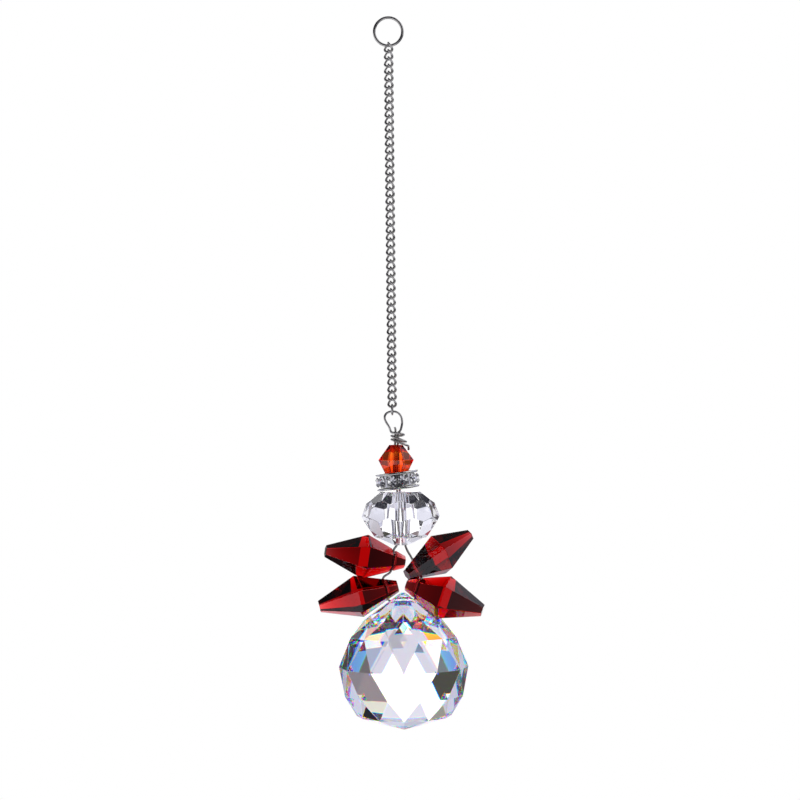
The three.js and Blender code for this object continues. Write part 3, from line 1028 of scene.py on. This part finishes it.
class SUNCATCHER_OT_wing_drops(bpy.types.Operator):
    """Cuts one ruby spindle, and turns, drills and hangs a copy for each wing"""

    bl_idname = "suncatcher.wing_drops"
    bl_label = "Wing drops"

    def execute(self, context):
        settings = context.scene.suncatcher
        size = settings.drop
        half = size.length / 2
        rings = ((size.end_radius, half, 0), (size.radius, 0, 0), (size.end_radius, -half, 0))
        spindle = hulled("spindle", rings, size.facets)
        for wing in WINGS:
            drop = copy_of(spindle, "wing_" + wing["corner"])
            rolled = Matrix.Rotation(math.radians(wing["roll"]), 4, "X")
            along = rolled @ Matrix.Rotation(math.pi / 2, 4, "Y")
            out = Matrix.Translation((wing["side"] * (half - size.hole_from_end), 0, 0))
            fix_place(drop, out @ along)
            far = Vector((0, 0, 2 * size.radius))
            polish_edges(drop, settings.finish.edge)
            drill(drop, size.hole, -far, far)
            fix_place(drop, wing_place(wing))
            dress(drop, "wing_drop_" + wing["corner"], "ruby_crystal", "ruby crystal")
        bpy.data.objects.remove(spindle)
        return {"FINISHED"}


class SUNCATCHER_OT_ball(bpy.types.Operator):
    """Cuts the faceted ball with its cone, and drills the cone across"""

    bl_idname = "suncatcher.ball"
    bl_label = "Crystal ball"

    def execute(self, context):
        settings = context.scene.suncatcher
        size = settings.ball
        rings = [(size.tip_radius, size.tip_height, 0)]
        for latitude, share in BALL_RINGS:
            angle = math.radians(latitude)
            rings.append((size.radius * math.cos(angle), size.radius * math.sin(angle), share))
        rings.append((size.pole_radius, -size.pole_depth, 0))
        ball = hulled("ball_cut", rings, size.facets)
        far = Vector((2 * size.radius, 0, 0))
        middle = Vector((0, 0, size.hole_height))
        polish_edges(ball, settings.finish.edge)
        drill(ball, size.hole, middle - far, middle + far)
        fix_place(ball, Matrix.Translation(size.place))
        dress(ball, "crystal_ball", "clear_crystal", "clear crystal")
        return {"FINISHED"}


class SUNCATCHER_OT_finishes(bpy.types.Operator):
    """Mixes the finishes that the pieces wear"""

    bl_idname = "suncatcher.finishes"
    bl_label = "Finishes"

    def execute(self, context):
        look = context.scene.suncatcher.finish
        metal_finish("drawn steel wire", look.steel, roughness=0.14, grain=5200)
        metal_finish("plated chain steel", look.steel, roughness=0.12, grain=4200)
        metal_finish("silver plate", look.silver, roughness=0.12, grain=3600)
        foil_finish("stone foil", look.foil)
        clear_finish("clear stone", look.clear, STONE_BEND)
        clear_finish("clear bead crystal", look.clear, CRYSTAL_BEND)
        rainbow_finish("clear crystal", look.clear, CRYSTAL_BEND, COLOUR_SPREAD)
        coloured_finish("ruby crystal", look.ruby, CRYSTAL_BEND, RUBY_DEPTH)
        # The amber bead's tint by height is painted fire and shade, pale yellow at the top and dark red at
        # the base.
        coloured_finish("amber red crystal", look.amber, CRYSTAL_BEND, AMBER_DEPTH, AMBER_PAINTED_LIGHT)
        return {"FINISHED"}


class SUNCATCHER_OT_stage(bpy.types.Operator):
    """Puts up the white tent of light, the floor and the camera"""

    bl_idname = "suncatcher.stage"
    bl_label = "Stage"

    def tent(self, world):
        """A white tent with slats below, open to a dark room at the front. The camera sees plain white."""
        finish = Finish(world)
        way = {"Vector": finish.node("ShaderNodeTexCoord", output="Generated")}
        right, back, up = [finish.node("ShaderNodeSeparateXYZ", None, way, axis) for axis in "XYZ"]
        turn = finish.sum("DEGREES", finish.sum("ARCTAN2", right, back), 0)
        lift = finish.sum("DEGREES", finish.sum("ARCSINE", up, 0), 0)
        shade = finish.mix(finish.band(right, *BACK_EDGES, BACK_SOFT), SIDE_LIGHT, BACK_LIGHT)
        slats = finish.ramp(finish.sum("SINE", turn * SLATS_PER_DEGREE, 0) * 0.5 + 0.5, SLAT_EDGES)
        shade = finish.mix(slats * finish.band(lift, *SLAT_LIFT, SLAT_SOFT), shade, SLAT_DARK)
        either = finish.sum("ABSOLUTE", turn, 0)
        for angle, cards in ((either, PAIRED_CARDS), (turn, CARDS)):
            for card in cards:
                across = finish.band(angle, *card["turn"], card["soft"])
                face = across * finish.band(lift, *card["lift"], card["soft"])
                shade = finish.mix(face, shade, rgba(card["shade"]))
        light = finish.node("ShaderNodeBackground", None, {"Color": shade, "Strength": 1.0})
        plain = finish.node("ShaderNodeBackground", None, {"Color": (1, 1, 1, 1), "Strength": 1.0})
        seen = finish.node("ShaderNodeLightPath", output="Is Camera Ray")
        both = finish.node("ShaderNodeMixShader", None, {0: seen, 1: light, 2: plain})
        finish.node("ShaderNodeOutputWorld", None, {"Surface": both})

    def execute(self, context):
        scene = context.scene
        size = scene.suncatcher.stage
        scene.world = bpy.data.worlds.new("white tent")
        self.tent(scene.world)
        rest()
        bpy.ops.mesh.primitive_circle_add(
            vertices=FLOOR_SIDES, radius=size.floor_radius, fill_type="NGON"
        )
        floor = context.object
        floor.name = "floor"
        fix_place(floor, Matrix.Translation((0, 0, SOLID_BOX[0].z - size.floor_drop)))
        paint = Finish(bpy.data.materials.new("floor paint"))
        matt = paint.node("ShaderNodeBsdfDiffuse", None, {"Color": rgba(size.floor)})
        paint.node("ShaderNodeOutputMaterial", None, {"Surface": matt})
        floor.data.materials.append(paint.owner)
        floor.visible_transmission = False
        floor.visible_glossy = False
        rest()
        bpy.ops.object.light_add(type="SUN")
        lamp = context.object
        lamp.name = "floor lamp"
        lamp.data.energy = size.floor_light
        lamp.data.angle = size.floor_light_spread
        lamp.visible_glossy = False
        lamp.visible_transmission = False
        distance = size.lens / size.sensor * size.field
        rest()
        bpy.ops.object.camera_add(location=Vector(size.aim) - Vector((0, distance, 0)))
        camera = context.object
        camera.rotation_euler = (math.pi / 2, size.roll, 0)
        camera.data.lens = size.lens
        camera.data.sensor_width = size.sensor
        scene.camera = camera
        scene.view_settings.view_transform = "Standard"
        scene.cycles.max_bounces = 32
        scene.cycles.transmission_bounces = 32
        scene.cycles.glossy_bounces = 16
        scene.cycles.transparent_max_bounces = 16
        return {"FINISHED"}


STEPS = (
    SUNCATCHER_OT_stage,
    SUNCATCHER_OT_finishes,
    SUNCATCHER_OT_ring,
    SUNCATCHER_OT_chain,
    SUNCATCHER_OT_wire,
    SUNCATCHER_OT_red_bead,
    SUNCATCHER_OT_spacer,
    SUNCATCHER_OT_clear_bead,
    SUNCATCHER_OT_wing_drops,
    SUNCATCHER_OT_ball,
)


class SUNCATCHER_PT_panel(bpy.types.Panel):
    """Lists the steps and the settings of the suncatcher"""

    bl_label = "Crystal Suncatcher"
    bl_idname = "SUNCATCHER_PT_panel"
    bl_space_type = "VIEW_3D"
    bl_region_type = "UI"
    bl_category = "Suncatcher"

    def draw(self, context):
        for step in STEPS:
            self.layout.operator(step.bl_idname, text=step.bl_label)
        settings = context.scene.suncatcher
        for group in settings.bl_rna.properties.keys():
            part = getattr(settings, group)
            if isinstance(part, bpy.types.PropertyGroup):
                box = self.layout.box()
                box.label(text=group.replace("_", " ").capitalize())
                for name in part.bl_rna.properties.keys():
                    if name not in ("rna_type", "name"):
                        box.prop(part, name)


CLASSES = (
    RingSettings,
    ChainSettings,
    WireSettings,
    RedBeadSettings,
    SpacerSettings,
    ClearBeadSettings,
    DropSettings,
    BallSettings,
    FinishSettings,
    StageSettings,
    SuncatcherSettings,
    *STEPS,
    SUNCATCHER_PT_panel,
)


def register():
    for kind in CLASSES:
        bpy.utils.register_class(kind)
    bpy.types.Scene.suncatcher = PointerProperty(type=SuncatcherSettings)


def unregister():
    del bpy.types.Scene.suncatcher
    for kind in reversed(CLASSES):
        bpy.utils.unregister_class(kind)


def main():
    register()
    bpy.ops.suncatcher.stage()
    bpy.ops.suncatcher.finishes()
    bpy.ops.suncatcher.ring()
    bpy.ops.suncatcher.chain()
    bpy.ops.suncatcher.wire()
    bpy.ops.suncatcher.red_bead()
    bpy.ops.suncatcher.spacer()
    bpy.ops.suncatcher.clear_bead()
    bpy.ops.suncatcher.wing_drops()
    bpy.ops.suncatcher.ball()


if __name__ == "__main__":
    main()
